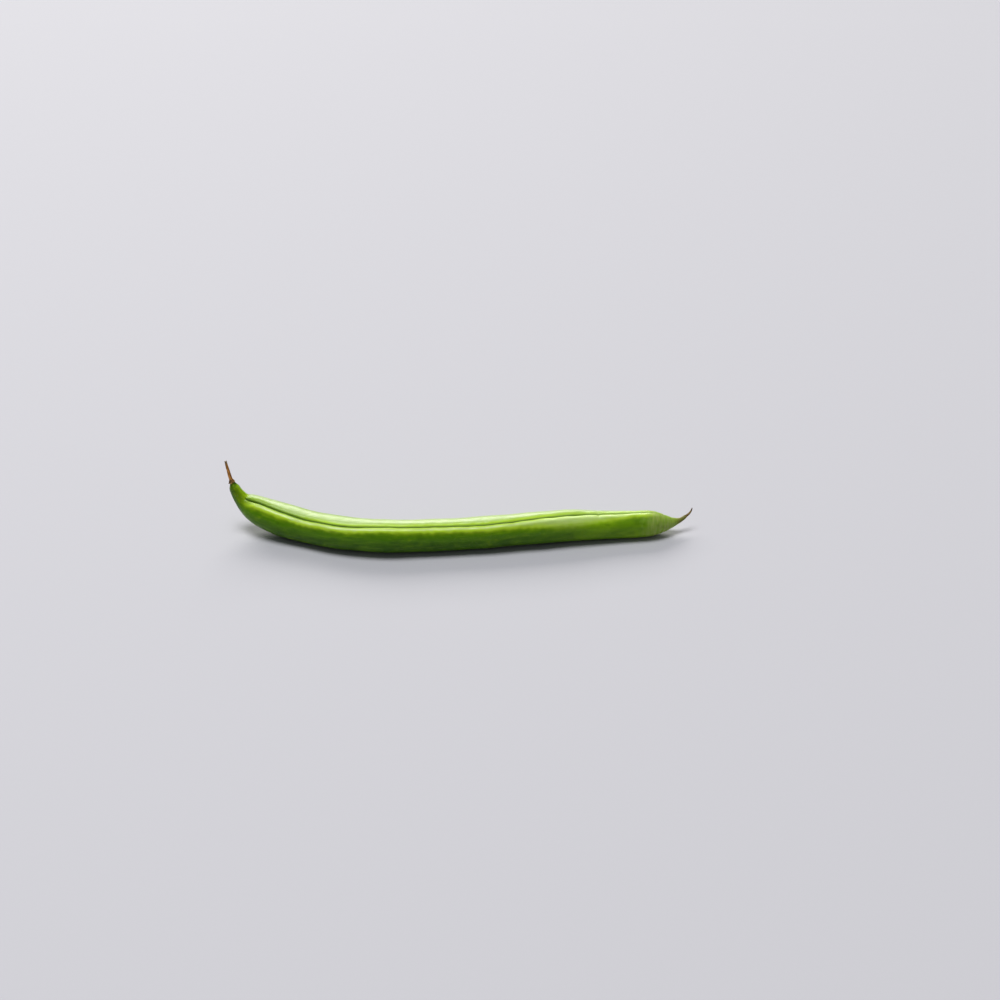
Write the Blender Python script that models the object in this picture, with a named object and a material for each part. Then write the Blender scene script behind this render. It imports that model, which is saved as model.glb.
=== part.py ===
"""A green bean: one whole pod with its withered calyx, its dry stalk and the dry thread at its tip.

Metres, +Z up. The bean lies along X with its stalk end at -X and its tip at +X. It rests on the
plane Z = 0 at three low spots, and the origin is on that plane, under the middle of its box.
"""

import bpy
import bmesh
import numpy as np
from mathutils import Vector

MM = 0.001

# The pod's line and girth, one row for each place that shapes it, in millimetres:
# X and Y of its centre line, the underside's height over the table, half its height (suture to
# back), half its width (cheek to cheek), and how far the suture leans from upright to -Y, in degrees.
POD_STATIONS = np.array([
    (-57.2, 10.4, 12.39, 0.75, 0.75, 29.0),
    (-56.7, 10.1, 10.52, 1.33, 1.30, 30.0),
    (-54.9, 9.5, 6.66, 2.06, 2.00, 31.0),
    (-53.8, 9.2, 5.08, 2.60, 2.52, 31.0),
    (-51.9, 8.5, 3.36, 3.40, 3.28, 31.0),
    (-49.4, 7.7, 1.96, 3.95, 3.80, 32.0),
    (-46.5, 6.7, 0.94, 4.33, 4.16, 33.0),
    (-38.4, 3.7, -0.12, 4.52, 4.28, 35.0),
    (-28.7, 0.2, 0.06, 4.48, 4.25, 34.0),
    (-17.2, -1.6, 0.16, 4.40, 4.14, 28.0),
    (-4.7, -0.8, -0.12, 4.36, 4.10, 26.0),
    (10.4, 0.6, 0.14, 4.30, 4.05, 22.0),
    (26.4, 3.0, 0.18, 4.20, 4.00, 14.0),
    (39.3, 4.7, 0.08, 3.76, 3.62, 8.0),
    (49.9, 5.8, -0.12, 3.60, 3.44, 1.0),
    (52.6, 6.1, 0.02, 3.50, 3.34, 0.0),
    (55.3, 6.5, 0.50, 2.80, 2.66, 0.0),
    (57.7, 6.9, 1.44, 1.75, 1.66, 0.0),
    (59.3, 7.3, 2.23, 0.98, 0.95, 0.0),
    (60.7, 7.8, 2.90, 0.62, 0.60, 0.0),
    (62.2, 8.6, 3.74, 0.46, 0.45, 0.0),
])
BOX_CENTRE = Vector((2.49, 2.90, 0.0)) * MM  # middle of the bean's box in the stations' own X and Y

# The neck ends in a notch, where the two cheeks of the pod rise on either side of the suture.
NOTCH_AT = 4.7 * MM  # along the centre line, from the calyx
CHEEK_HEIGHT = 0.50 * MM
CHEEK_RISE = 1.0 * MM
CHEEK_FADE = 13.0 * MM
CHEEK_ARC = 1.2  # radians on either side of the suture at their full height
CHEEK_ARC_FADE = 1.3  # radians further round over which they sink to nothing

# The suture is a furrow between two rounded lips; a fine rib runs down the pod's back.
FURROW_DEPTH = 0.42 * MM
FURROW_HALF_WIDTH = 0.78 * MM
FURROW_END = 5.0 * MM  # it closes over this length, before the beak
LIP_HEIGHT = 0.16 * MM
LIP_FROM_SUTURE = 1.05 * MM
LIP_WIDTH = 0.50 * MM
RIB_HEIGHT = 0.10 * MM
RIB_WIDTH = 0.30 * MM
BEAK_LENGTH = 7.2 * MM  # along the centre line

# The seeds swell both cheeks a little.
SEED_COUNT = 7
FIRST_SEED = 19.0 * MM  # along the centre line
SEED_PITCH = 13.4 * MM
SEED_HALF_LENGTH = 4.6 * MM
SEED_SWELL = 0.16 * MM

# How finely the pod is faceted: places round a ring, and rings in each stretch.
RING_POINTS = 32
RING_CROWDING = 0.55  # how strongly a ring's points crowd towards the suture, 0 to 1
NECK_RINGS, NOTCH_RINGS, BODY_RINGS, END_RINGS, BEAK_RINGS = 8, 11, 56, 8, 11
NOTCH_STRETCH = 3.6 * MM
END_STRETCH = 5.5 * MM

GAP = 0.3 * MM  # between touching pieces

CALYX_RADIUS = 0.80 * MM
CALYX_THICKNESS = 0.8 * MM
CALYX_ROUNDING = 0.14 * MM
# Each withered tooth of the calyx: its place round the neck in degrees, and how far it sticks out.
CALYX_TEETH = ((20.0, 0.45), (95.0, 0.16), (165.0, 0.30), (238.0, 0.14), (305.0, 0.24))
TOOTH_HALF_ANGLE = 17.0  # degrees
CALYX_POINTS = 40  # round its outline

# The stalk's line from the calyx up to its broken end, as offsets in millimetres, and its radii.
STALK_LINE = ((0.0, 0.0, 0.0), (-0.30, 0.12, 1.35), (-0.60, 0.25, 2.7), (-0.87, 0.38, 4.0), (-1.1, 0.5, 5.2))
STALK_RADII = (0.46, 0.42, 0.38, 0.33, 0.27)

# The dry thread at the tip, from the beak's end, as offsets in millimetres, and its radii.
THREAD_LINE = ((0.0, 0.0, 0.0), (0.62, 0.36, 0.42), (1.12, 0.76, 0.98), (1.42, 1.14, 1.70))
THREAD_RADII = (0.31, 0.27, 0.22, 0.16)


def clear_scene():
    for thing in list(bpy.data.objects):
        bpy.data.objects.remove(thing)


def material(name, colour, roughness):
    made = bpy.data.materials.new(name)
    made.use_nodes = True
    shader = made.node_tree.nodes["Principled BSDF"]
    shader.inputs["Base Color"].default_value = (*colour, 1.0)
    shader.inputs["Roughness"].default_value = roughness
    shader.inputs["Metallic"].default_value = 0.0
    return made


def finish(thing, collection, finish_material):
    collection.objects.link(thing)
    thing.data.materials.append(finish_material)
    return thing


def smooth_through(at, values, wanted):
    """A smooth curve through values at the places `at`: cubic pieces whose slopes are the mean
    slopes of the spans on either side, read at the places `wanted`."""
    slopes = np.gradient(values, at, axis=0)
    span = np.clip(np.searchsorted(at, wanted, side="right") - 1, 0, len(at) - 2)
    length = (at[span + 1] - at[span])[:, None]
    t = ((wanted - at[span])[:, None]) / length
    start, end = values[span], values[span + 1]
    return (
        (1 + 2 * t) * (1 - t) ** 2 * start
        + t * (1 - t) ** 2 * length * slopes[span]
        + t * t * (3 - 2 * t) * end
        + t * t * (t - 1) * length * slopes[span + 1]
    )


def ease(x):
    """0 below 0, 1 above 1, and a smooth step in between."""
    x = np.clip(x, 0.0, 1.0)
    return x * x * (3 - 2 * x)


def unit(vectors):
    return vectors / np.linalg.norm(vectors, axis=-1, keepdims=True)


def station_lengths():
    """How far along the centre line each station is, in metres, counted from the calyx."""
    rows = POD_STATIONS * MM
    lean = np.radians(POD_STATIONS[:, 5])
    drop = np.hypot(rows[:, 3] * np.cos(lean), rows[:, 4] * np.sin(lean))
    centres = np.column_stack([rows[:, 0], rows[:, 1], rows[:, 2] + drop])
    steps = np.linalg.norm(np.diff(centres, axis=0), axis=1)
    return centres, np.concatenate([[0.0], np.cumsum(steps)])


def pod_line(along):
    """Centre, half height, half width and the three directions of the pod's section at each
    place along its centre line: down the line, towards the suture, and towards a cheek."""
    centres, at = station_lengths()
    shape = np.column_stack([centres, POD_STATIONS[:, 3:5] * MM, np.radians(POD_STATIONS[:, 5])])
    read = smooth_through(at, shape, along)
    step = 0.05 * MM
    ahead = smooth_through(at, shape, along + step)[:, :3]
    behind = smooth_through(at, shape, along - step)[:, :3]
    down_line = unit(ahead - behind)
    up = np.array([0.0, 0.0, 1.0])
    upright = unit(up - down_line * (down_line @ up)[:, None])
    sideways = np.cross(down_line, upright)
    lean = read[:, 5:6]
    suture = np.cos(lean) * upright + np.sin(lean) * sideways
    cheek = np.cross(down_line, suture)
    return read[:, :3], read[:, 3:4], read[:, 4:5], down_line, suture, cheek


def pod_relief(along, round_angle, half_width, pod_length):
    """How far the skin stands proud of the plain oval section, in metres: the cheeks that rise
    at the notch, the lips, the furrow between them, the rib on the back and the seeds' swelling."""
    from_suture = np.abs(round_angle) * half_width
    past_notch = along - NOTCH_AT
    before_beak = pod_length - BEAK_LENGTH - along
    open_here = ease(past_notch / CHEEK_RISE) * ease(before_beak / FURROW_END)
    cheeks = CHEEK_HEIGHT * ease(past_notch / CHEEK_RISE) * ease(1 - past_notch / CHEEK_FADE)
    cheeks = cheeks * (1 - ease((np.abs(round_angle) - CHEEK_ARC) / CHEEK_ARC_FADE))
    lips = LIP_HEIGHT * open_here * np.exp(-(((from_suture - LIP_FROM_SUTURE) / LIP_WIDTH) ** 2))
    side_of_furrow = np.clip(1 - from_suture / FURROW_HALF_WIDTH, 0.0, 1.0)
    furrow = (FURROW_DEPTH * open_here + cheeks) * (1 - np.sqrt(1 - side_of_furrow**2))
    from_back = (np.pi - np.abs(round_angle)) * half_width
    rib = RIB_HEIGHT * open_here * np.exp(-((from_back / RIB_WIDTH) ** 2))
    seeds = sum(
        np.exp(-(((along - FIRST_SEED - number * SEED_PITCH) / SEED_HALF_LENGTH) ** 2))
        for number in range(SEED_COUNT)
    )
    swelling = SEED_SWELL * seeds * np.sin(round_angle) ** 2
    return cheeks + lips - furrow + rib + swelling


def pod_points(along, round_angle, pod_length):
    """Points of the pod's skin on a grid: each ring is an oval square to the centre line, with
    the relief added outwards, and what would sink under the table is pressed flat on it."""
    centre, half_height, half_width, _, suture, cheek = pod_line(along)
    place, angle = along[:, None], round_angle[None, :]
    relief = pod_relief(place, angle, half_width, pod_length)
    towards_suture = ((half_height + relief) * np.cos(angle))[..., None] * suture[:, None, :]
    towards_cheek = ((half_width + relief) * np.sin(angle))[..., None] * cheek[:, None, :]
    points = centre[:, None, :] + towards_suture + towards_cheek
    points[..., 2] = np.maximum(points[..., 2], 0.0)
    return points - np.array(BOX_CENTRE)


def ring_places(pod_length):
    """Where the rings are: close together where the form turns quickly."""
    body_start = NOTCH_AT + NOTCH_STRETCH
    beak_start = pod_length - BEAK_LENGTH
    body_end = beak_start - END_STRETCH
    stretches = (
        (0.0, NOTCH_AT, NECK_RINGS),
        (NOTCH_AT, body_start, NOTCH_RINGS),
        (body_start, body_end, BODY_RINGS),
        (body_end, beak_start, END_RINGS),
        (beak_start, pod_length, BEAK_RINGS),
    )
    places = [np.linspace(start, end, count, endpoint=False) for start, end, count in stretches]
    return np.concatenate([*places, [pod_length]])


def make_pod(collection, skin):
    """The pod is a loft: round at the neck, an oval with a furrow in the body, and a thin beak."""
    pod_length = station_lengths()[1][-1]
    turn = np.linspace(-np.pi, np.pi, RING_POINTS, endpoint=False)
    round_angle = turn - RING_CROWDING * np.sin(turn)
    rings = pod_points(ring_places(pod_length), round_angle, pod_length)
    mesh = bpy.data.meshes.new("pod")
    shell = bmesh.new()
    loops = [[shell.verts.new(point) for point in ring] for ring in rings]
    for one, other in zip(loops, loops[1:]):
        for i in range(RING_POINTS):
            following = (i + 1) % RING_POINTS
            shell.faces.new((one[i], one[following], other[following], other[i]))
    shell.faces.new(loops[0])
    shell.faces.new(loops[-1])
    bmesh.ops.recalc_face_normals(shell, faces=shell.faces)
    shell.to_mesh(mesh)
    shell.free()
    mesh.shade_smooth()
    mesh.set_sharp_from_angle(angle=np.radians(50.0))
    return finish(bpy.data.objects.new("pod", mesh), collection, skin)


def pod_end(at_calyx):
    """The middle of the pod's end face, and the direction that points out of it."""
    pod_length = station_lengths()[1][-1]
    centre, _, _, down_line, _, _ = pod_line(np.array([0.0 if at_calyx else pod_length]))
    outwards = -down_line[0] if at_calyx else down_line[0]
    return Vector(centre[0]) - BOX_CENTRE, Vector(outwards)


def calyx_outline():
    """A round outline with a rounded tooth at each place that still has one."""
    points = []
    for i in range(CALYX_POINTS):
        degrees = 360.0 * i / CALYX_POINTS
        radius = CALYX_RADIUS
        for tooth_at, length in CALYX_TEETH:
            away = (degrees - tooth_at + 180.0) % 360.0 - 180.0
            radius += length * MM * np.exp(-((away / TOOTH_HALF_ANGLE) ** 2))
        points.append((radius * np.cos(np.radians(degrees)), radius * np.sin(np.radians(degrees))))
    return points


def make_calyx(collection, husk):
    """What is left of the calyx: a small toothed collar on the end of the neck."""
    outline = calyx_outline()
    shape = bpy.data.curves.new("calyx", "CURVE")
    shape.dimensions = "2D"
    shape.fill_mode = "BOTH"
    shape.extrude = CALYX_THICKNESS / 2 - CALYX_ROUNDING
    shape.bevel_depth = CALYX_ROUNDING
    shape.bevel_resolution = 1
    shape.offset = -CALYX_ROUNDING
    line = shape.splines.new("POLY")
    line.points.add(len(outline) - 1)
    for point, (x, y) in zip(line.points, outline):
        point.co = (x, y, 0.0, 1.0)
    line.use_cyclic_u = True
    calyx = finish(bpy.data.objects.new("calyx", shape), collection, husk)
    foot, outwards = pod_end(at_calyx=True)
    calyx.location = foot + outwards * (GAP + CALYX_THICKNESS / 2)
    calyx.rotation_mode = "QUATERNION"
    calyx.rotation_quaternion = outwards.to_track_quat("Z", "Y")
    return calyx


def make_strand(name, foot, line_mm, radii_mm, collection, strand_material):
    """A tapering strand: a curve through its points, as thick at each as its radius says."""
    shape = bpy.data.curves.new(name, "CURVE")
    shape.dimensions = "3D"
    shape.resolution_u = 3
    shape.bevel_depth = MM
    shape.bevel_resolution = 2
    shape.use_fill_caps = True
    line = shape.splines.new("BEZIER")
    line.bezier_points.add(len(line_mm) - 1)
    for point, offset, radius in zip(line.bezier_points, line_mm, radii_mm):
        point.co = Vector(offset) * MM
        point.radius = radius
        point.handle_left_type = point.handle_right_type = "AUTO"
    strand = finish(bpy.data.objects.new(name, shape), collection, strand_material)
    strand.location = foot
    return strand


def make_stalk(collection, wood):
    """The dry stalk that the bean hung from, broken off above the calyx."""
    foot, outwards = pod_end(at_calyx=True)
    foot = foot + outwards * (GAP + CALYX_THICKNESS + GAP)
    return make_strand("stalk", foot, STALK_LINE, STALK_RADII, collection, wood)


def make_thread(collection, husk):
    """The dry style, the last of the flower, at the end of the beak."""
    foot, outwards = pod_end(at_calyx=False)
    foot = foot + outwards * GAP
    return make_strand("style_thread", foot, THREAD_LINE, THREAD_RADII, collection, husk)


def main():
    clear_scene()
    bean = bpy.data.collections.new("green_bean")
    bpy.context.scene.collection.children.link(bean)
    skin = material("pod_skin", (0.145, 0.275, 0.018), 0.42)
    husk = material("dry_husk", (0.120, 0.078, 0.028), 0.80)
    wood = material("dry_stalk", (0.360, 0.205, 0.085), 0.75)
    make_pod(bean, skin)
    make_calyx(bean, husk)
    make_stalk(bean, wood)
    make_thread(bean, husk)


main()
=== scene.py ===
# %% [markdown]
# # Dressing a green bean
#
# The imported model already has the true sizes of one green bean: its pod, the withered calyx, the
# dry stalk that it hung from and the dry thread at its tip. Here each of them gets the surface and
# the finish of the real thing. We could sculpt a bean by hand, but a formula is easier to read and
# to change, so every surface below is worked out with numpy. The frame comes first, and its box is
# kept.

import bpy
import numpy as np
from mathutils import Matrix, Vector
from mathutils.bvhtree import BVHTree


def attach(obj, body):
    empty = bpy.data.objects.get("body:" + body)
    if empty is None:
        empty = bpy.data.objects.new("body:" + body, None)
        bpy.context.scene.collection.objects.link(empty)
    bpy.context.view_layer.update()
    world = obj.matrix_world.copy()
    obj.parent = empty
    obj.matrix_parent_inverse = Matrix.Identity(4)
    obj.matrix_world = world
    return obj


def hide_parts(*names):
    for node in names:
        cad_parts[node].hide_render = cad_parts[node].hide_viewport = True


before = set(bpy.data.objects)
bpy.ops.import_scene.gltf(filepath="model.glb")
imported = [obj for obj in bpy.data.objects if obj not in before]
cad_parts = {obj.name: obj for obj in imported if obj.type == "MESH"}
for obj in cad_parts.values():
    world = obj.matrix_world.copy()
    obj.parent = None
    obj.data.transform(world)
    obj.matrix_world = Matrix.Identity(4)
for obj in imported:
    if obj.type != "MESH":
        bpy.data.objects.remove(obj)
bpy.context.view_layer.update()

MM = 0.001  # shapes are worked out in millimetres, and Blender's unit here is the metre

# %% [markdown]
# ## The camera
#
# The photograph looks down on the bean at about 32 degrees, from far enough away that the bean
# hardly tapers with distance. A camera could be aimed with a constraint, but three sizes say it
# all: how far away it is, how high it looks down from, and how wide the picture is at the bean.
# The lens follows from them.

# %% Camera
CAMERA_AIM = Vector((10.56, 1.67, 11.71)) * MM  # the point in the middle of the picture
CAMERA_DISTANCE = 616 * MM
CAMERA_ELEVATION = np.radians(32.0)
PICTURE_WIDTH = 261.1 * MM  # at the aim point
SENSOR_WIDTH = 36.0  # in real millimetres, as camera data wants it

camera_data = bpy.data.cameras.new("camera")
camera_data.sensor_width = SENSOR_WIDTH
camera_data.lens = SENSOR_WIDTH * CAMERA_DISTANCE / PICTURE_WIDTH
camera_data.clip_start = 0.01
camera = bpy.data.objects.new("camera", camera_data)
looks_along = Vector((0.0, np.cos(CAMERA_ELEVATION), -np.sin(CAMERA_ELEVATION)))
camera.location = CAMERA_AIM - CAMERA_DISTANCE * looks_along
camera.rotation_euler = (np.pi / 2 - CAMERA_ELEVATION, 0.0, 0.0)
bpy.context.scene.collection.objects.link(camera)
bpy.context.scene.camera = camera
print("lens in mm:", round(camera_data.lens, 1))

# %% [markdown]
# ## Colours and nodes
#
# Colours are easiest to read as the hex values that a picture editor shows. Blender's shaders want
# linear light, so one function turns them. A material is a tree of nodes, and one small function
# adds a node, sets its properties and fills its sockets. With it a whole tree stays short. What is
# the same all over a surface is its finish, and it goes straight on the shader.


# %% Colour and node helpers
def linear(hex_colour):
    """An sRGB hex colour as linear red, green, blue and alpha: each channel is divided by 12.92
    where it is dark, and follows the sRGB power curve elsewhere."""
    srgb = np.array([int(hex_colour[i : i + 2], 16) for i in (1, 3, 5)]) / 255.0
    light = np.where(srgb <= 0.04045, srgb / 12.92, ((srgb + 0.055) / 1.055) ** 2.4)
    return (*light.tolist(), 1.0)


def add_node(tree, kind, sockets=None, **properties):
    """Adds a node, sets its properties and fills its input sockets: a socket of another node is
    linked, and anything else is set as the socket's value."""
    made = tree.nodes.new(kind)
    for name, value in properties.items():
        setattr(made, name, value)
    for name, value in (sockets or {}).items():
        if isinstance(value, bpy.types.NodeSocket):
            tree.links.new(value, made.inputs[name])
        else:
            made.inputs[name].default_value = value
    return made


def new_material(name, finish):
    """A material, its node tree and its Principled shader, whose own sockets get the values of
    the finish."""
    made = bpy.data.materials.new(name)
    made.use_nodes = True
    shader = made.node_tree.nodes["Principled BSDF"]
    for socket, value in finish.items():
        shader.inputs[socket].default_value = value
    return made, made.node_tree, shader


print("mid grey as linear light:", [round(channel, 3) for channel in linear("#808080")])


# %% [markdown]
# ## The floor and the light
#
# The bean lies on a plain pale surface in a bright, soft studio light. In the photograph the
# light comes from behind on the left: the top of the pod shines, its near side is shaded, and the
# shadow falls softly towards us. A large area lamp behind gives that, a wide one overhead lifts
# the floor, and a dim pale world fills the shadows. Soft light needs large lamps near by, not
# strong ones far away. The plain Standard view keeps the greens as bright as they were picked,
# and its look with a little more contrast deepens the shade.

# %% Floor, lamps and world
FLOOR_HALF = 4.0  # in metres, as lamps and distances are here
FLOOR_COLOUR = "#BDBCC0"
WORLD_COLOUR = "#F2F5FA"
WORLD_STRENGTH = 0.20

floor_mesh = bpy.data.meshes.new("floor")
floor_corners = [(x * FLOOR_HALF, y * FLOOR_HALF, 0.0) for x, y in ((-1, -1), (1, -1), (1, 1), (-1, 1))]
floor_mesh.from_pydata(floor_corners, [], [(0, 1, 2, 3)])
floor = bpy.data.objects.new("floor", floor_mesh)
bpy.context.scene.collection.objects.link(floor)

# Matt paint scatters light evenly, so the floor has no reflections to draw the eye.
PAINT_FINISH = {"Base Color": linear(FLOOR_COLOUR), "Roughness": 0.85, "Specular IOR Level": 0.2}
matt_paint, _, _ = new_material("matt_painted_board", PAINT_FINISH)
floor_mesh.materials.append(matt_paint)


def softbox(name, distance, turned_left, elevation, size, power, colour):
    """A rectangular area lamp, aimed at the bean from behind: so far away in metres, turned so
    many degrees to the left of straight behind, and so many degrees over the floor."""
    lamp = bpy.data.lights.new(name, "AREA")
    lamp.shape = "RECTANGLE"
    lamp.size, lamp.size_y = size
    lamp.energy = power
    lamp.color = linear(colour)[:3]
    left, high = np.radians(turned_left), np.radians(elevation)
    out = Vector((-np.sin(left) * np.cos(high), np.cos(left) * np.cos(high), np.sin(high)))
    thing = bpy.data.objects.new(name, lamp)
    thing.location = out * distance
    thing.rotation_euler = (-out).to_track_quat("-Z", "Y").to_euler()
    bpy.context.scene.collection.objects.link(thing)


softbox("window_behind", 2.6, turned_left=16, elevation=32, size=(2.5, 1.3), power=52.0, colour="#FFFDF8")
softbox("overhead", 2.2, turned_left=90, elevation=80, size=(1.0, 1.0), power=31.5, colour="#FBFCFF")

world = bpy.data.worlds.new("pale_studio")
world.use_nodes = True
background = world.node_tree.nodes["Background"]
background.inputs["Color"].default_value = linear(WORLD_COLOUR)
background.inputs["Strength"].default_value = WORLD_STRENGTH
bpy.context.scene.world = world
bpy.context.scene.view_settings.view_transform = "Standard"
bpy.context.scene.view_settings.look = "Medium High Contrast"

# %% [markdown]
# ## Smooth curves, soft steps and soft noise
#
# A living form changes smoothly, so its sizes are read from smooth curves through a few named
# places. Its small unevenness is noise: a sum of sine waves that run in random directions. The
# noise reads a point's place in space, so it meets itself without a seam all the way round, and
# each draw has its own seed, so that the bean is the same each time.


# %% Shape helpers
def smooth_through(at, values, wanted):
    """A smooth curve through values at the places `at`, read at `wanted`: cubic pieces whose
    slopes are the mean slopes of the spans on either side."""
    slopes = np.gradient(values, at, axis=0)
    span = np.clip(np.searchsorted(at, wanted, side="right") - 1, 0, len(at) - 2)
    length = (at[span + 1] - at[span])[:, None]
    t = (wanted - at[span])[:, None] / length
    start, end = values[span], values[span + 1]
    return (
        (1 + 2 * t) * (1 - t) ** 2 * start
        + t * (1 - t) ** 2 * length * slopes[span]
        + t * t * (3 - 2 * t) * end
        + t * t * (t - 1) * length * slopes[span + 1]
    )


def ease(x):
    """0 below 0, 1 above 1, and the smooth step 3x^2 - 2x^3 in between."""
    x = np.clip(x, 0.0, 1.0)
    return x * x * (3 - 2 * x)


def bell(distance, width):
    """A smooth bump: 1 in the middle, falling as exp(-(distance / width)^2)."""
    return np.exp(-((distance / width) ** 2))


def by_side(near, near_values, far_values):
    """One grid for each pair of values: the near side's where `near` holds, else the far side's."""
    return [np.where(near, here, there) for here, there in zip(near_values, far_values)]


def unit(vectors):
    """The same directions with length 1."""
    return vectors / np.linalg.norm(vectors, axis=-1, keepdims=True)


def soft_noise(places, size, seed, waves=26):
    """Random smooth hills and hollows of about `size` mm, mostly from -1 to 1: the sum of sine
    waves in seeded random directions, each of a slightly different length."""
    draw = np.random.default_rng(seed)
    directions = unit(draw.normal(size=(waves, 3)))
    pace = np.pi / (size * draw.uniform(0.7, 1.5, waves))
    phase = draw.uniform(0.0, 2 * np.pi, waves)
    angles = places @ (directions * pace[:, None]).T + phase
    return np.sin(angles).sum(axis=-1) * 0.55 * np.sqrt(2 / waves)


noise_sample = soft_noise(np.linspace(0.0, 90.0, 3000).reshape(-1, 3), size=1.0, seed=1)
print("soft noise runs from", round(noise_sample.min(), 1), "to", round(noise_sample.max(), 1))


# %% [markdown]
# ## The pod's line
#
# A bean pod bends as it grows: a thin neck that turns down from the calyx, a long gentle S, and a
# short tail. The model was lofted along a line of stations, and the fine skin has to follow the
# same line, so the stations are given again here. At each of them we know the middle of the pod,
# its half height from suture to back, its half width from cheek to cheek, and how far the suture
# leans over from upright towards us. The suture is the seam along which a pod splits.

# %% Line of the pod
# X and Y of the centre line, the underside's height over the table, half height, half width,
# all in mm, and the suture's lean in degrees.
POD_STATIONS = np.array([
    (-57.2, 10.4, 12.39, 0.75, 0.75, 29.0),
    (-56.7, 10.1, 10.52, 1.33, 1.30, 30.0),
    (-54.9, 9.5, 6.66, 2.06, 2.00, 31.0),
    (-53.8, 9.2, 5.08, 2.60, 2.52, 31.0),
    (-51.9, 8.5, 3.36, 3.40, 3.28, 31.0),
    (-49.4, 7.7, 1.96, 3.95, 3.80, 32.0),
    (-46.5, 6.7, 0.94, 4.33, 4.16, 33.0),
    (-38.4, 3.7, -0.12, 4.52, 4.28, 35.0),
    (-28.7, 0.2, 0.06, 4.48, 4.25, 34.0),
    (-17.2, -1.6, 0.16, 4.40, 4.14, 28.0),
    (-4.7, -0.8, -0.12, 4.36, 4.10, 26.0),
    (10.4, 0.6, 0.14, 4.30, 4.05, 22.0),
    (26.4, 3.0, 0.18, 4.20, 4.00, 14.0),
    (39.3, 4.7, 0.08, 3.76, 3.62, 8.0),
    (49.9, 5.8, -0.12, 3.60, 3.44, 1.0),
    (52.6, 6.1, 0.02, 3.50, 3.34, 0.0),
    (55.3, 6.5, 0.50, 2.80, 2.66, 0.0),
    (57.7, 6.9, 1.44, 1.75, 1.66, 0.0),
    (59.3, 7.3, 2.23, 0.98, 0.95, 0.0),
    (60.7, 7.8, 2.90, 0.62, 0.60, 0.0),
    (62.2, 8.6, 3.74, 0.46, 0.45, 0.0),
])
BOX_CENTRE = np.array([2.49, 2.90, 0.0])  # middle of the bean's box in the stations' own X and Y
SLOPE_STEP = 0.05  # how far ahead and behind the line's direction is read
SMOOTHED_OVER = 1.5  # mm to each side, over which the curves are averaged
END_KEPT = 4.0  # mm from each end, within which that stretch shrinks to nothing

lean_at = np.radians(POD_STATIONS[:, 5])
drop = np.hypot(POD_STATIONS[:, 3] * np.cos(lean_at), POD_STATIONS[:, 4] * np.sin(lean_at))
centres = np.column_stack([POD_STATIONS[:, :2], POD_STATIONS[:, 2] + drop]) - BOX_CENTRE
spans = np.linalg.norm(np.diff(centres, axis=0), axis=1)
station_at = np.concatenate([[0.0], np.cumsum(spans)])
pod_length = station_at[-1]
station_rows = np.column_stack([centres, POD_STATIONS[:, 3:5], lean_at])
print("length along the pod in mm:", round(pod_length, 1))


def read_stations(along):
    """The stations' curves, each averaged over five reads along a short stretch, because the
    bends of a piecewise curve show as rings on a glossy skin. The stretch shrinks to nothing at
    the pod's ends."""
    spread = SMOOTHED_OVER * ease(np.minimum(along, pod_length - along) / END_KEPT)
    places = [along + share * spread for share in (-1, -0.5, 0, 0.5, 1)]
    reads = [smooth_through(station_at, station_rows, place) for place in places]
    return sum(reads) / len(reads)


def pod_line(along):
    """Centre, half height, half width and the section's three directions at each place along the
    pod: down the line, towards the suture, and towards the cheek that faces us."""
    read = read_stations(along)
    ahead = read_stations(along + SLOPE_STEP)[:, :3]
    behind = read_stations(along - SLOPE_STEP)[:, :3]
    down_line = unit(ahead - behind)
    up = np.array([0.0, 0.0, 1.0])
    upright = unit(up - down_line * (down_line @ up)[:, None])
    sideways = np.cross(down_line, upright)
    lean = read[:, 5:6]
    suture = np.cos(lean) * upright + np.sin(lean) * sideways
    return read[:, :3], read[:, 3:4], read[:, 4:5], down_line, suture, np.cross(down_line, suture)


# %% [markdown]
# ## The pod's form
#
# Two things make the form. The large relief is the model's: two cheeks that rise past the neck,
# rounded lips on either side of the suture, a furrow between them, a rib on the back, and a slight
# swelling over each seed. The fine relief is what a close look adds: a few creases across the
# lips, lips that are plumper over one seed, lengthwise ridges on the neck and a swelling at its
# end, low lumps all over, and wrinkles across the limp tail. Both are heights added outwards on
# an oval section.

# %% Large relief
NOTCH_AT = 4.7  # all in mm unless it says otherwise, and counted along the line from the calyx
CHEEK_HEIGHT = 0.50
FAR_CHEEK_RISE = 1.9  # the far cheek rises over the neck in a step
NEAR_CHEEK_RISE = 7.0  # the near one grows out of it
CHEEK_FADE = 13.0
CHEEK_ARC = 1.2  # radians from the suture at their full height
CHEEK_ARC_FADE = 1.3  # radians further round over which they sink to nothing
FURROW_DEPTH = 0.40
FURROW_HALF_WIDTH = 0.66
FURROW_START = 1.0
FURROW_END = 5.0
NEAR_LIP_HEIGHT = 0.20
FAR_LIP_HEIGHT = 0.07
LIP_FROM_SUTURE = 1.20
LIP_WIDTH = 0.58
LIP_RISE = 5.0
RIB_HEIGHT = 0.10
RIB_WIDTH = 0.30
BEAK_LENGTH = 7.2
SEED_PLACES = 19.0 + 13.4 * np.arange(7)  # the first seed, and their pitch
SEED_HALF_LENGTH = 4.6
SEED_SWELL = 0.16
print("seeds along the pod at mm:", SEED_PLACES.round(1).tolist())


def open_suture(along):
    """How far the suture is open, from 0 to 1: it starts at the notch and closes at the beak."""
    before_beak = pod_length - BEAK_LENGTH - along
    return ease((along - NOTCH_AT) / FURROW_START) * ease(before_beak / FURROW_END)


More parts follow.
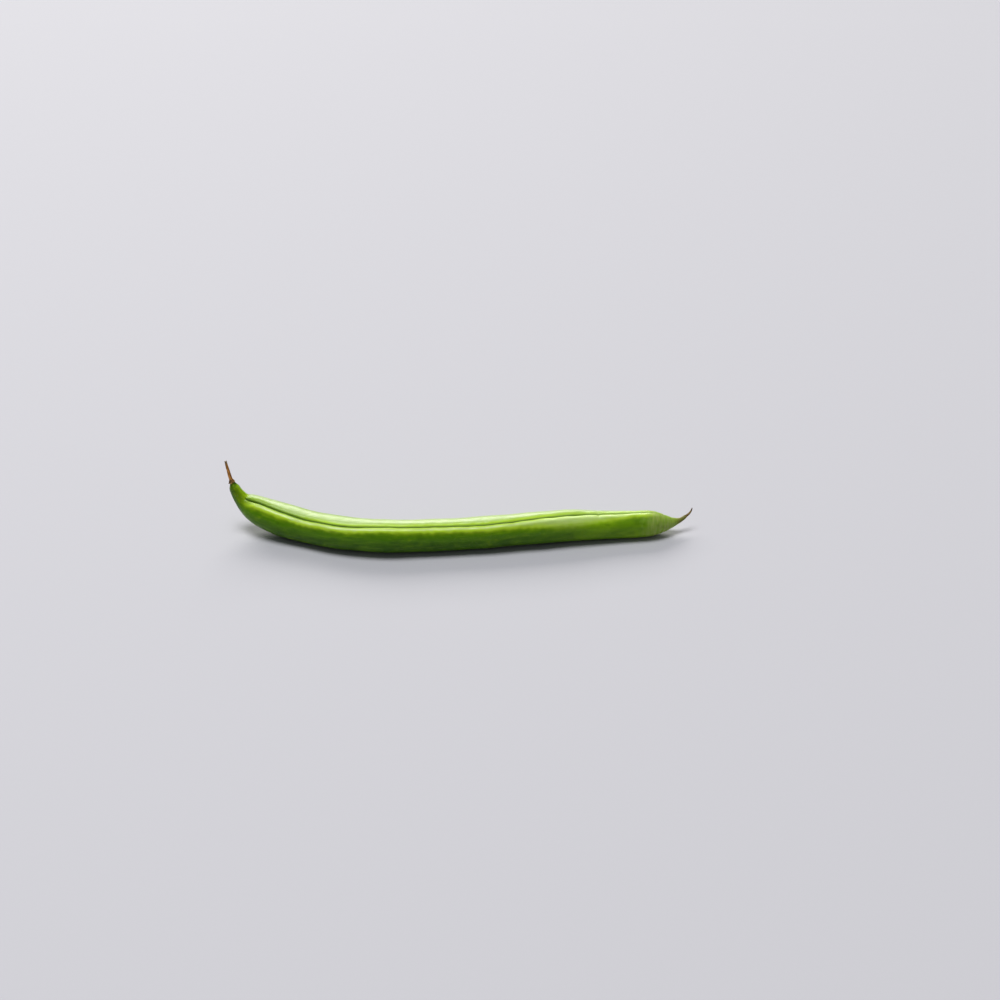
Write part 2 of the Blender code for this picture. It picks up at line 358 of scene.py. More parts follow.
def large_relief(along, angle, half_width, from_suture, near, lip_growth):
    """Height in mm over the plain oval: cheeks and lips rise on smooth steps and bells, the
    furrow is a cusp where two round lips meet, the rib is a bell at the back, and each seed
    swells the cheeks as a bell along the pod times the squared sine of the angle."""
    past_notch = along - NOTCH_AT
    opened = open_suture(along)
    rise = np.where(near, ease(past_notch / NEAR_CHEEK_RISE), ease(past_notch / FAR_CHEEK_RISE))
    cheeks = CHEEK_HEIGHT * rise * ease(1 - past_notch / CHEEK_FADE)
    cheeks = cheeks * (1 - ease((np.abs(angle) - CHEEK_ARC) / CHEEK_ARC_FADE))
    lip_height = np.where(near, NEAR_LIP_HEIGHT, FAR_LIP_HEIGHT) * lip_growth
    lip_height = lip_height * ease(past_notch / LIP_RISE)
    lips = lip_height * opened * bell(from_suture - LIP_FROM_SUTURE, LIP_WIDTH)
    side_of_furrow = np.clip(1 - from_suture / FURROW_HALF_WIDTH, 0.0, 1.0)
    furrow = (FURROW_DEPTH * opened + cheeks) * (1 - np.sqrt(1 - side_of_furrow**2))
    from_back = (np.pi - np.abs(angle)) * half_width
    rib = RIB_HEIGHT * opened * bell(from_back, RIB_WIDTH)
    seeds = sum(bell(along - place, SEED_HALF_LENGTH) for place in SEED_PLACES)
    return cheeks + lips - furrow + rib + SEED_SWELL * seeds * np.sin(angle) ** 2


# %% [markdown]
# The fine relief needs a place on the pod that doesn't care how the pod bends. So each point also
# gets its place on a straight copy of the pod, and all noise reads that. The same straight place
# goes into the mesh as an attribute, so that the skin's streaks follow the bend too.

# %% Fine relief
LUMP_HEIGHT, LUMP_SIZE = 0.050, 3.4
LUMP_STRETCH = [0.45, 1.0, 1.0]  # a share below 1 makes the noise longer that way
LUMPS_WHERE_CLOSED = 0.4  # the share of the lumps where the suture is closed
DIMPLE_HEIGHT, DIMPLE_SIZE = 0.022, 0.85
DIMPLE_STRETCH = [0.8, 1.0, 1.0]
NECK_RIDGES, NECK_RIDGE_HEIGHT, NECK_RIDGE_END = 11, 0.040, 13.0
RIDGE_WAVER, RIDGE_WAVER_SIZE = 1.5, 5.0  # radians that the ridges stray, and the noise's size
NECK_SWELLING, SWELLING_AT, SWELLING_WIDTH = 0.15, 0.9, 0.8  # where the flower's parts grew
TAIL_START, TAIL_LIMP_OVER = 111.0, 8.0
TAIL_FIRM_END = 5.0  # the beak itself is firm again
TAIL_WRINKLE, TAIL_WRINKLE_SIZE = 0.075, 0.75
TAIL_WRINKLE_STRETCH = [1.0, 0.30, 0.30]
CROSS_CREASES = (  # place along the pod, depth and half width
    (101.6, 0.16, 0.34),
    (97.1, 0.05, 0.22),
    (104.2, 0.05, 0.20),
    (71.5, 0.05, 0.25),
)
CROSS_CREASE_REACH = 2.3  # from the suture
CROSS_CREASE_FADE = 0.7  # a power: below 1, a crease keeps its depth for longer
CROSS_CREASE_BOW, CROSS_CREASE_TURN = 0.35, 2.1  # no crease runs quite straight across
PLUMP_AT, PLUMP_HALF_LENGTH = 94.6, 5.4  # the lips are plump over the seed before the deep crease
# Height of each plump lip, how far its middle is from the suture, and its half width.
NEAR_PLUMP, FAR_PLUMP = (0.26, 2.3, 1.3), (0.42, 2.4, 2.0)
CALYX_SMOOTH, TIP_SMOOTH = 3.0, 2.0  # the small forms fade away at the very ends
print("deepest crease across the lips in mm:", max(depth for _, depth, _ in CROSS_CREASES))


def fine_relief(along, angle, from_suture, near, straight):
    """Height in mm of the small forms: noise of two sizes, ridges that follow a cosine round the
    neck, hollows across the tail as deep as the absolute value of noise, which leaves sharp
    wrinkles between them, and creases across the lips, each a bell along the pod that fades away
    from the suture. The plump lips and the neck's swelling are wide bells."""
    lengthwise = straight * LUMP_STRETCH
    lumps = LUMP_HEIGHT * soft_noise(lengthwise, LUMP_SIZE, seed=11)
    lumps = lumps * (LUMPS_WHERE_CLOSED + (1 - LUMPS_WHERE_CLOSED) * open_suture(along))
    dimples = DIMPLE_HEIGHT * soft_noise(straight * DIMPLE_STRETCH, DIMPLE_SIZE, seed=12, waves=34)
    waver = RIDGE_WAVER * soft_noise(lengthwise, RIDGE_WAVER_SIZE, seed=13)
    ridges = NECK_RIDGE_HEIGHT * np.cos(NECK_RIDGES * angle + waver)
    ridges = ridges * ease(1 - along / NECK_RIDGE_END) * ease(along)
    limp = ease((along - TAIL_START) / TAIL_LIMP_OVER) * ease((pod_length - along) / TAIL_FIRM_END)
    hollows = np.abs(soft_noise(straight * TAIL_WRINKLE_STRETCH, TAIL_WRINKLE_SIZE, seed=14))
    wrinkles = -TAIL_WRINKLE * limp * hollows
    bow = CROSS_CREASE_BOW * np.sin(CROSS_CREASE_TURN * angle)
    creases = sum(-depth * bell(along - place - bow, width) for place, depth, width in CROSS_CREASES)
    creases = creases * ease(1 - from_suture / CROSS_CREASE_REACH) ** CROSS_CREASE_FADE
    shown = ease(along / CALYX_SMOOTH) * ease((pod_length - along) / TIP_SMOOTH)
    height, middle, breadth = by_side(near, NEAR_PLUMP, FAR_PLUMP)
    plump = height * bell(along - PLUMP_AT, PLUMP_HALF_LENGTH) * bell(from_suture - middle, breadth)
    swelling = NECK_SWELLING * bell(along - SWELLING_AT, SWELLING_WIDTH)
    return (lumps + dimples + wrinkles + creases) * shown + ridges + plump + swelling


# %% [markdown]
# ## From formula to mesh
#
# Rings square to the line, and places round each ring, make a grid. Rings crowd together where
# the form turns quickly, and places crowd together at the suture, where a fine crease needs
# them. Each end closes on one pole. We could add a Subdivision modifier to a coarse mesh, but
# then the crease and the wrinkles would have no points of their own to move.

# %% Mesh helpers
def closed_over(rings):
    """The faces of a closed skin over a grid of rings: quads join neighbouring rings, and a fan
    of triangles closes each end on a pole, a point that comes after the grid's own."""
    ring_count, around = rings.shape[:2]
    index = np.arange(ring_count * around).reshape(ring_count, around)
    onward = np.roll(index, -1, axis=1)
    quads = np.stack([index[:-1], onward[:-1], onward[1:], index[1:]], axis=-1).reshape(-1, 4)
    first_pole, last_pole = np.full(around, index.size), np.full(around, index.size + 1)
    first_fan = np.column_stack([onward[0], index[0], first_pole])
    last_fan = np.column_stack([index[-1], onward[-1], last_pole])
    return quads.tolist() + first_fan.tolist() + last_fan.tolist()


def with_poles(grid):
    """A grid's values as one list, with the mean of its first and of its last ring at the end."""
    around = grid.shape[1]
    flat = grid.reshape(grid.shape[0] * around, -1)
    return np.concatenate([flat, flat[:around].mean(axis=0)[None], flat[-around:].mean(axis=0)[None]])


def add_piece(name, points, faces, values, finish):
    """Makes a piece from points in mm and lists of corners. The values at each point become
    attributes of the mesh. The faces are turned round if they point inwards, which the sign of
    the volume under them tells: the sum of each first corner times the cross of the next two."""
    corners = points[np.array([face[:3] for face in faces])]
    volume = np.einsum("ij,ij->", corners[:, 0], np.cross(corners[:, 1], corners[:, 2]))
    if volume < 0:
        faces = [face[::-1] for face in faces]
    mesh = bpy.data.meshes.new(name)
    mesh.from_pydata((points * MM).tolist(), [], faces)
    mesh.shade_smooth()
    for key, at_points in values.items():
        kind, field = ("FLOAT_VECTOR", "vector") if at_points.shape[-1] == 3 else ("FLOAT", "value")
        attribute = mesh.attributes.new(key, kind, "POINT")
        attribute.data.foreach_set(field, at_points.astype(np.float32).ravel())
    mesh.materials.append(finish)
    piece = bpy.data.objects.new(name, mesh)
    bpy.context.scene.collection.objects.link(piece)
    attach(piece, "root")
    print(name, "triangles:", sum(len(face) - 2 for face in faces))
    return piece


def add_grid_piece(name, rings, straight, masks, finish):
    """A closed piece over a grid of rings, with its straight places and masks as attributes."""
    values = {"straight": with_poles(straight)}
    values.update({key: with_poles(mask[..., None]) for key, mask in masks.items()})
    return add_piece(name, with_poles(rings), closed_over(rings), values, finish)


# %% [markdown]
# ## The skin's finish
#
# The skin of a fresh bean is living tissue under a thin coat of wax. The wax gives broad, soft
# highlights, and light goes a little way into the flesh. The green isn't even: it is mottled,
# finely streaked along the pod by the fibres underneath, paler on the lips, yellower towards the
# tail, and nearly papery at the limp end. Light and shade are painted into the colour too: painted
# highlight on the lips and along the near lip's edge, painted light beside the crease and on the
# top of the neck, and painted shade down in the crease, underneath, on the near flank and on the
# far valve's inner side near the neck. Fine down on the skin pales the edges that we see along
# the surface, and sheen stands for that. We could paint all this on an image, but an image has
# one size. Here masks say where each colour is, and noise on the straight places breaks them up.

# %% Skin material
MIX_FACTOR, MIX_UNDER, MIX_OVER, MIX_RESULT = 0, 6, 7, 2  # sockets of a Mix node that mixes colours

# Stretch along the pod and across it, size of the features in mm, and detail. The fibres of a
# real skin are about a third as wide as these streaks, too fine to show from a step away.
SKIN_NOISES = {
    "clouds": ((0.5, 1.0, 1.0), 3.2, 4.0),
    "mottle": ((0.6, 1.0, 1.0), 0.80, 5.0),
    "streaks": ((0.08, 1.0, 1.0), 0.22, 4.0),
    "grain": ((0.7, 1.0, 1.0), 0.11, 3.0),
    "cross_streaks": ((1.0, 0.09, 0.09), 0.17, 4.0),
}
NOISE_HILL = 0.5  # a hill of Blender's noise is about this share of 1 / Scale wide
SPECK_PITCH = 0.42  # in mm, between the pale specks, each a pore or the foot of a hair

SKIN_UNDER = "#8FAE08"
# Colour, mask or none, pattern, the pattern's values for none and all of it, and strength.
SKIN_LAYERS = (
    # the flanks' own deeper green, which starts nearer the suture on the near side as painted shade
    ("#5C8900", "flank", "mottle", 0.20, 0.40, 1.00),
    ("#8AB210", "yellowing", "mottle", 0.20, 0.55, 0.92),
    # painted shade: the darkest green underneath
    ("#315800", "underside", "mottle", 0.15, 0.60, 0.95),
    ("#4C7A00", None, "clouds", 0.42, 0.62, 0.50),
    ("#8DB21A", None, "streaks", 0.52, 0.70, 0.36),
    ("#3E6600", "flank", "mottle", 0.52, 0.70, 0.40),
    ("#98B838", "flank", "specks", 0.24, 0.10, 0.38),
    ("#9DBC30", None, "grain", 0.58, 0.72, 0.25),
    # the lips: partly their own paler colour, partly painted highlight
    ("#B3C888", "far_lip", "streaks", 0.05, 0.45, 0.92),
    ("#C4DA8A", "near_lip", "streaks", 0.05, 0.45, 0.92),
    # painted highlight along the near lip's lower edge
    ("#C2E23C", "lip_edge", "mottle", 0.15, 0.40, 0.85),
    # painted light: a bright glow beside the crease, for light through the thin flesh
    ("#B6DA28", "furrow", "clouds", 0.00, 0.20, 0.90),
    # painted shade on the far valve's inner side, near the neck
    ("#6E9010", "inner_far", "clouds", 0.00, 0.20, 0.75),
    ("#365A00", "neck", "streaks", 0.22, 0.52, 0.80),
    # painted light on the upper side of the neck
    ("#A4C614", "neck_top", "streaks", 0.10, 0.50, 0.90),
    ("#A7B766", "tail", "cross_streaks", 0.26, 0.70, 0.95),
    # painted shade down in the crease
    ("#486C00", "crease", "grain", 0.00, 0.30, 0.85),
    ("#6E5E34", "dry_end", "streaks", 0.20, 0.60, 1.00),
)
# Pattern, strength and depth in mm.
SKIN_BUMPS = (("streaks", 0.35, 0.08), ("mottle", 0.20, 0.10), ("grain", 0.30, 0.05))
# The wax is a little duller in patches: the clouds give its roughness.
WAX_PATCHES = {"From Min": 0.35, "From Max": 0.65, "To Min": 0.34, "To Max": 0.42}
NO_WAX = 0.18  # roughness that is added on the limp tail, where the wax is gone
SKIN_FINISH = {
    # Mostly water in thin cell walls. Under the wax, the skin itself shines very little.
    "IOR": 1.44,
    "Specular IOR Level": 0.20,
    # Light goes about a millimetre into the flesh and comes back green, which softens the shade.
    "Subsurface Weight": 0.20,
    "Subsurface Radius": (0.7, 1.0, 0.2),
    "Subsurface Scale": 1.2 * MM,
    # The wax is a thin clear coat, and its highlights are broad and soft.
    "Coat Weight": 0.34,
    "Coat Roughness": 0.20,
    "Coat IOR": 1.42,
    # The down pales the edges.
    "Sheen Weight": 0.12,
    "Sheen Roughness": 0.30,
    "Sheen Tint": linear("#DDE8B0"),
}


def waxed_bean_skin():
    """Fresh bean skin: a green ground under layers of colour. Each layer shows as much as its
    pattern, stretched between two values, times its mask. Three of the patterns are bumps too."""
    skin, tree, shader = new_material("waxed_bean_skin", SKIN_FINISH)
    straight = add_node(tree, "ShaderNodeAttribute", attribute_name="straight").outputs["Vector"]
    masks = {}
    for name in sorted({row[1] for row in SKIN_LAYERS if row[1]}):
        masks[name] = add_node(tree, "ShaderNodeAttribute", attribute_name=name).outputs["Fac"]

    patterns = {}
    for name, (stretch, size, detail) in SKIN_NOISES.items():
        stretched = add_node(tree, "ShaderNodeMapping", {"Vector": straight, "Scale": stretch})
        sockets = {"Vector": stretched.outputs["Vector"], "Scale": NOISE_HILL / size, "Detail": detail}
        patterns[name] = add_node(tree, "ShaderNodeTexNoise", sockets).outputs["Fac"]
    specks = add_node(tree, "ShaderNodeTexVoronoi", {"Vector": straight, "Scale": 1 / SPECK_PITCH})
    patterns["specks"] = specks.outputs["Distance"]

    colour = linear(SKIN_UNDER)
    for shade, mask, pattern, none_at, all_at, strength in SKIN_LAYERS:
        stretched = {"From Min": none_at, "From Max": all_at, "To Max": strength}
        ranged = add_node(tree, "ShaderNodeMapRange", {"Value": patterns[pattern], **stretched})
        shown = ranged.outputs["Result"]
        if mask:
            masked = add_node(tree, "ShaderNodeMath", {0: shown, 1: masks[mask]}, operation="MULTIPLY")
            shown = masked.outputs["Value"]
        sockets = {MIX_FACTOR: shown, MIX_UNDER: colour, MIX_OVER: linear(shade)}
        colour = add_node(tree, "ShaderNodeMix", sockets, data_type="RGBA").outputs[MIX_RESULT]
    tree.links.new(colour, shader.inputs["Base Color"])

    waxed = add_node(tree, "ShaderNodeMapRange", {"Value": patterns["clouds"], **WAX_PATCHES})
    sockets = {0: masks["tail"], 1: NO_WAX, 2: waxed.outputs["Result"]}
    roughness = add_node(tree, "ShaderNodeMath", sockets, operation="MULTIPLY_ADD")
    tree.links.new(roughness.outputs["Value"], shader.inputs["Roughness"])

    bump = None
    for pattern, strength, depth in SKIN_BUMPS:
        sockets = {"Height": patterns[pattern], "Strength": strength, "Distance": depth * MM}
        if bump:
            sockets["Normal"] = bump.outputs["Normal"]
        bump = add_node(tree, "ShaderNodeBump", sockets)
    tree.links.new(bump.outputs["Normal"], shader.inputs["Normal"])
    return skin


bean_skin = waxed_bean_skin()
print("nodes in the skin:", len(bean_skin.node_tree.nodes))


# %% [markdown]
# ## Where each colour goes
#
# The colours follow the pod: pale lips beside the suture, widest over the seed before the deep
# crease, then green flanks, and the darkest green underneath. The pale lips are partly their own
# colour and partly painted highlight, and the darkest green underneath is painted shade, as is
# the dark crease. A mask for each is a step or a bell in the distance from the suture, times a
# step along the pod. We could paint them by hand, but a formula keeps each in its place when the
# suture moves. Noise makes their edges uneven, because nothing on a living skin has a ruled edge.

# %% Masks of the skin
EDGE_WANDER, EDGE_WANDER_SIZE = 0.12, 0.9
# Where each band of colour starts, from the suture, and the width of its soft edge.
# The lip bands are partly the lips' own paler colour and partly painted highlight.
NEAR_LIP, FAR_LIP = (0.90, 0.70), (3.1, 2.5)
# The flank band starts nearer the suture on the near side, and is painted shade there.
NEAR_FLANK, FAR_FLANK = (1.25, 1.5), (4.3, 2.6)
# The underside band is painted shade, the darkest green underneath.
NEAR_UNDERSIDE_SHADE, FAR_UNDERSIDE_SHADE = (2.8, 3.6), (7.2, 3.0)
LIP_WIDENING, LIP_WIDEST_AT, LIP_WIDE_OVER = 1.35, 94.0, 11.0
WIDER_START, WIDER_EDGE = 0.45, 1.1  # shares of the widening for a band's start and for its edge
# Narrow bands: how far their middle is from the suture, and their half width.
# The furrow bands are painted light, a bright glow beside the crease.
# The inner far band is painted shade.
NEAR_FURROW_GLOW, FAR_FURROW_GLOW, INNER_FAR_SHADE = (0.22, 0.28), (0.55, 0.50), (0.50, 0.65)
# The lip rim is a painted highlight along the near lip's lower edge.
LIP_RIM_AT, LIP_RIM_WIDTH = 1.35, 0.42
LIP_RIM_WIDER, LIP_RIM_FAINTER = 0.3, 0.5  # for each mm of the widening
CREASE_WIDTH, CREASE_UNEVENNESS, CREASE_UNEVEN_SIZE = 0.17, 0.05, 2.0
CREASE_WIDER, CREASE_DARKNESS = 0.10, 0.8  # the painted shade in the crease is wider and fully dark near the neck
# Where a colour changes along the pod, and over how much of it.
NEAR_LIP_PALES, LIP_RIM_BRIGHTENS = 9.0, 5.0  # past the notch
CREASE_BOLD_TO, CREASE_BOLD_FADE = 46.0, 12.0
CREASE_THINS_FROM, CREASE_THINS_OVER, CREASE_THINS_BY = 82.0, 34.0, 0.6
INNER_FAR_SHADE_TO, INNER_FAR_SHADE_FADE = 33.0, 14.0
# The painted shade underneath is fainter at the neck and rises past it.
UNDERSIDE_SHADE_FROM, UNDERSIDE_SHADE_RISE, UNDERSIDE_SHADE_AT_NECK = 6.0, 20.0, 0.4
YELLOWS_FROM, YELLOWS_OVER = 84.0, 20.0
FURROW_GLOW_YELLOWS, UNDERSIDE_SHADE_YELLOWS = 0.5, 0.95  # the shares that the yellowing takes away
NECK_GREEN_OVER = 9.0
NECK_TOP_ANGLE, NECK_TOP_ARC, NECK_TOP_FADE = -0.65, 1.2, 1.2  # painted light on the neck's upper side; the angles in radians
TAIL_PALES_FROM, TAIL_PALES_OVER, TAIL_EDGE = 112.0, 4.5, 6.0
DRY_FROM, DRY_OVER = 121.5, 2.5


def along_only(along, aside=0.0):
    """Places on one straight line, so that noise there changes along the pod and not round it."""
    return np.stack([along, aside + 0 * along, 0 * along], axis=-1)


def pod_masks(along, angle, signed, straight):
    """Where each colour of the skin is, from 0 to 1: bands that run along the suture with soft,
    uneven edges, times smooth steps along the pod. `signed` is the distance from the suture in
    mm, above 0 on the near side."""
    near, from_suture, opened = signed > 0, np.abs(signed), open_suture(along)
    edge = EDGE_WANDER * soft_noise(straight, EDGE_WANDER_SIZE, seed=24)
    past_notch = along - NOTCH_AT
    near_pales = ease(past_notch / NEAR_LIP_PALES)
    widening = LIP_WIDENING * bell(along - LIP_WIDEST_AT, LIP_WIDE_OVER)
    yellowing = ease((along - YELLOWS_FROM) / YELLOWS_OVER)

    def beyond(near_band, far_band, unevenness):
        start = np.where(near, near_band[0] + WIDER_START * widening, far_band[0])
        width = np.where(near, near_band[1] + WIDER_EDGE * widening, far_band[1])
        return ease((from_suture + unevenness * edge - start) / width)

    # the lips: partly their own paler colour, partly painted highlight
    lip = opened * (1 - beyond(NEAR_LIP, FAR_LIP, unevenness=1.0))
    # painted highlight along the near lip's lower edge
    rim = opened * near * ease(past_notch / LIP_RIM_BRIGHTENS) * (1 - LIP_RIM_FAINTER * widening)
    rim_width = LIP_RIM_WIDTH + LIP_RIM_WIDER * widening
    # painted light: a bright glow beside the crease
    furrow_at, furrow_width = by_side(near, NEAR_FURROW_GLOW, FAR_FURROW_GLOW)
    furrow = opened * (1 - FURROW_GLOW_YELLOWS * yellowing) * np.where(near, near_pales, 1.0)
    # painted shade underneath
    underside = beyond(NEAR_UNDERSIDE_SHADE, FAR_UNDERSIDE_SHADE, unevenness=3.0)
    underside = underside * (1 - UNDERSIDE_SHADE_YELLOWS * yellowing)
    past_neck = ease((along - UNDERSIDE_SHADE_FROM) / UNDERSIDE_SHADE_RISE)
    # painted shade on the far valve's inner side, near the neck
    inner_far = opened * ~near * ease((INNER_FAR_SHADE_TO - along) / INNER_FAR_SHADE_FADE)
    # painted shade in the crease
    bold = ease((CREASE_BOLD_TO - along) / CREASE_BOLD_FADE)
    uneven = CREASE_UNEVENNESS * soft_noise(along_only(along), CREASE_UNEVEN_SIZE, seed=23)
    crease = opened * bell(signed, CREASE_WIDTH + uneven + CREASE_WIDER * bold)
    crease = crease * (1 - CREASE_THINS_BY * ease((along - CREASE_THINS_FROM) / CREASE_THINS_OVER))
    # painted light on the neck's upper side
    neck_top = ease(1 - np.abs(angle - NECK_TOP_ANGLE) / NECK_TOP_ARC)
    return {
        "near_lip": lip * near * near_pales,
        "far_lip": lip * ~near,
        "lip_edge": rim * bell(from_suture + edge - widening - LIP_RIM_AT, rim_width),
        "furrow": furrow * bell(from_suture - furrow_at, furrow_width),
        # the flanks' own deeper green, and painted shade where it starts nearer the suture on the near
        # side
        "flank": beyond(NEAR_FLANK, FAR_FLANK, unevenness=1.2),
        "underside": underside * (UNDERSIDE_SHADE_AT_NECK + (1 - UNDERSIDE_SHADE_AT_NECK) * past_neck),
        "inner_far": inner_far * bell(from_suture - INNER_FAR_SHADE[0], INNER_FAR_SHADE[1]),
        "crease": crease * (CREASE_DARKNESS + (1 - CREASE_DARKNESS) * bold),
        "neck": ease(1 - along / NECK_GREEN_OVER),
        "neck_top": neck_top * ease(1 - past_notch / NECK_TOP_FADE) * ease(along / NECK_TOP_FADE),
        "yellowing": yellowing,
        "tail": ease((along + TAIL_EDGE * edge - TAIL_PALES_FROM) / TAIL_PALES_OVER),
        "dry_end": ease((along - DRY_FROM) / DRY_OVER),
    }


# %% [markdown]
# ## The pod
#
# Now the grid is filled in. The suture wanders and drifts off the middle of the lips, so the
# distance from it is measured to where it really is. Points that would sink through the table are
# pressed flat on it, as soft skin is where the bean rests.

# %% Pod
UNDER_CALYX = 0.4  # the skin goes on this far under the collar
AFTER_NOTCH, TAIL_END, BEAK_AT = 9.5, 113.0, 120.0
RINGS_IN_STRETCH = (  # start, end and number of rings
    (-UNDER_CALYX, NOTCH_AT, 64),
    (NOTCH_AT, AFTER_NOTCH, 80),
    (AFTER_NOTCH, TAIL_END, 380),
    (TAIL_END, BEAK_AT, 64),
    (BEAK_AT, pod_length, 46),
)
POD_AROUND = 148
CROWDING = 0.55  # of the places round a ring, towards the suture
even_turn = np.linspace(-np.pi, np.pi, POD_AROUND, endpoint=False)
pod_angles = even_turn - CROWDING * np.sin(even_turn)
TIP_ROUNDING = 0.5  # over this last stretch, the beak narrows in a quarter circle
TIP_NARROWING = 0.5  # by this share
SUTURE_WANDER, SUTURE_WANDER_SIZE, SUTURE_WANDER_RISE = 0.13, 3.6, 12.0
# The suture drifts off the middle of the lips: place along the pod, and mm towards the near side.
SUTURE_DRIFT = np.array([
    (0.0, 0.0), (6.0, -0.10), (15.5, -0.45), (27.0, -0.04), (52.0, 0.0),
    (64.0, 0.42), (90.0, 0.40), (99.0, 0.02), (126.0, 0.0),
])
LIP_UNEVENNESS, LIP_UNEVEN_SIZE = 0.38, 2.2
LIPS_APART = 7.0  # in the noise, so that each lip is uneven in its own way


def pod_rings():
    """The pod's grid: each ring is an oval square to the line, cos of the angle towards the
    suture and sin of it towards the cheek, with the relief added to both half sizes."""
    stretches = [np.linspace(*stretch, endpoint=False) for stretch in RINGS_IN_STRETCH]
    along_line = np.concatenate([*stretches, [pod_length]])
    centre, half_height, half_width, _, suture, cheek = pod_line(along_line)
    along, angle = np.meshgrid(along_line, pod_angles, indexing="ij")
    straight = np.stack([along, half_width * np.sin(angle), half_height * np.cos(angle)], axis=-1)
    wander = SUTURE_WANDER * soft_noise(along_only(along), SUTURE_WANDER_SIZE, seed=21)
    wander = wander * ease(along / SUTURE_WANDER_RISE)
    drift = smooth_through(SUTURE_DRIFT[:, 0], SUTURE_DRIFT[:, 1:], along_line)
    signed = angle * half_width - wander - drift
    near, from_suture = signed > 0, np.abs(signed)
    each_lip = along_only(along, LIPS_APART * np.sign(signed))
    lip_growth = 1 + LIP_UNEVENNESS * soft_noise(each_lip, LIP_UNEVEN_SIZE, seed=22)
    relief = large_relief(along, angle, half_width, from_suture, near, lip_growth)
    relief = relief + fine_relief(along, angle, from_suture, near, straight)
    into_tip = np.clip((along - pod_length) / TIP_ROUNDING + 1, 0.0, 1.0)
    rounded = 1 - TIP_NARROWING * (1 - np.sqrt(1 - into_tip**2))
    points = (
        centre[:, None]
        + (rounded * (half_height + relief) * np.cos(angle))[..., None] * suture[:, None]
        + (rounded * (half_width + relief) * np.sin(angle))[..., None] * cheek[:, None]
    )
    points[..., 2] = np.maximum(points[..., 2], 0.0)
    return points, straight, pod_masks(along, angle, signed, straight)


pod_grid, pod_straight, skin_masks = pod_rings()
pod_piece = add_grid_piece("pod_skin_surface", pod_grid, pod_straight, skin_masks, bean_skin)
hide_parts("pod")
print("masks on the skin:", ", ".join(skin_masks))

CHECKED_EVERY = 23  # one packed point in so many is enough to measure
packed_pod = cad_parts["pod"].data
packed_points = np.empty(len(packed_pod.vertices) * 3, dtype=np.float32)
packed_pod.vertices.foreach_get("co", packed_points)
surface = BVHTree.FromPolygons((with_poles(pod_grid) * MM).tolist(), closed_over(pod_grid))
checked = packed_points.reshape(-1, 3)[::CHECKED_EVERY].tolist()
gaps = [surface.find_nearest(Vector(point))[3] for point in checked]
print("fine skin departs from the packed pod by up to mm:", round(max(gaps) / MM, 2))

# %% [markdown]
# ## The down
#
# A fresh bean feels like velvet, because its skin carries short, hooked, colourless hairs. They
# hardly show from a step away, but they soften the outline, and close up they catch the light.
# Blender's hair system would not leave as a mesh, and thousands of curves are heavy. So each hair
# is a needle of four triangles, and all of them are worked out at once as arrays: a random
# place on the skin, a foot sunk a little into it, and a tip that leans towards the tail.

# %% Down
HAIR_COUNT = 16000
HAIR_LENGTHS = (0.07, 0.21)
HAIR_RADIUS = 0.009  # a real hair is about half as thick, too thin to show
HAIR_SUNK = 0.03
HAIR_FROM, HAIR_TO = 1.2, 121.0  # along the pod
HAIR_LEAN, HAIR_SCATTER = 0.55, 0.25  # down the line, and at random
CLEAR_OF_TABLE = 0.5
CLEAR_OF_CREASE = 0.12  # in radians
HAIR_PATCHES_PER_MM = 0.4
NEEDLE_FACES = np.array([(0, 1, 3), (1, 2, 3), (2, 0, 3), (2, 1, 0)])  # three sides and the foot
# Clear cell walls full of air and sap: pale, with a soft shine, and light goes through a little.
HAIR_FINISH = {"Roughness": 0.45, "IOR": 1.40, "Subsurface Weight": 0.3, "Subsurface Scale": 0.1 * MM}


def colourless_hair():
    """Plant hair: a pale colour that varies a little from patch to patch."""
    hair, tree, shader = new_material("colourless_plant_hair", HAIR_FINISH)
    straight = add_node(tree, "ShaderNodeAttribute", attribute_name="straight").outputs["Vector"]
    sockets = {"Vector": straight, "Scale": HAIR_PATCHES_PER_MM}
    patches = add_node(tree, "ShaderNodeTexNoise", sockets).outputs["Fac"]
    sockets = {MIX_FACTOR: patches, MIX_UNDER: linear("#C9D69A"), MIX_OVER: linear("#F0F2DC")}
    pale = add_node(tree, "ShaderNodeMix", sockets, data_type="RGBA").outputs[MIX_RESULT]
    tree.links.new(pale, shader.inputs["Base Color"])
    return hair


